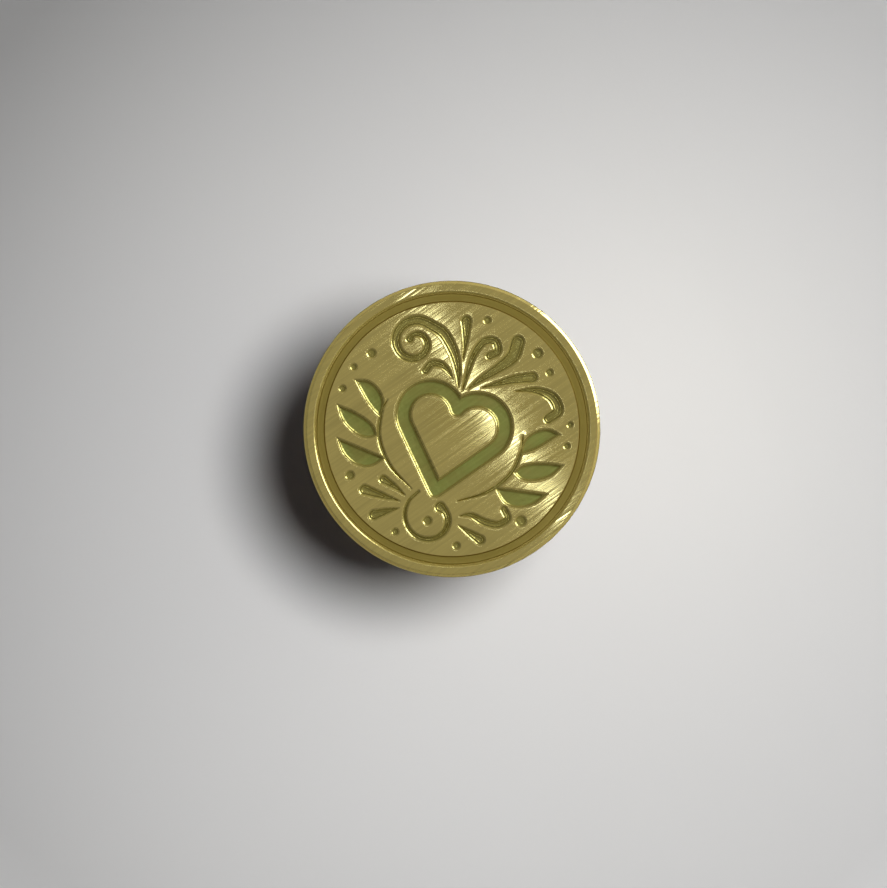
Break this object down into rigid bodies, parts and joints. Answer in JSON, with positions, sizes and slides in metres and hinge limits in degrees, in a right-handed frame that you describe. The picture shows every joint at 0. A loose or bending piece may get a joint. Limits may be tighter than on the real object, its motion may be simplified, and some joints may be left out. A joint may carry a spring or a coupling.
{
  "type": "wax seal stamp",
  "caption": "Wax seal stamp: a round brass head with a relief-engraved face that unscrews from a turned wooden handle with a brass ferrule.",
  "frame": {"origin": "Centre of the handle's flat butt, on the surface that the stamp stands on.", "axes": "+Z runs along the stamp's axis from the butt to the engraved face; the engraving's upright direction lies 15 degrees clockwise of +Y, seen from above the face."},
  "size_m": [0.025, 0.025, 0.0915],
  "materials": {
    "handle_wood": "lacquered hardwood, grain along the handle",
    "ferrule_brass": "turned and polished",
    "stud_steel": "zinc plated",
    "washer_nylon": "plain",
    "head_brass": "brushed face with milled engraving, turned sides"
  },
  "bodies": {
    "grip": {"handle": "handle_wood", "ferrule": "ferrule_brass", "threaded_stud": "stud_steel"},
    "washer": {"joint_washer": "washer_nylon"},
    "head": {"seal_head": "head_brass"}
  },
  "joints": [
    {"name": "head_rise", "type": "slide", "parent": "grip", "child": "washer", "axis": [0, 0, 1], "range_m": [0, 0.0075]},
    {"name": "head_turn", "type": "hinge", "parent": "washer", "child": "head", "pos_m": [0, 0, 0.077], "axis": [0, 0, 1], "range_deg": [0, 2700]}
  ],
  "couplings": [
    {"joint": "head_rise", "follows": "head_turn", "m_per_rad": 0.00015915}
  ]
}
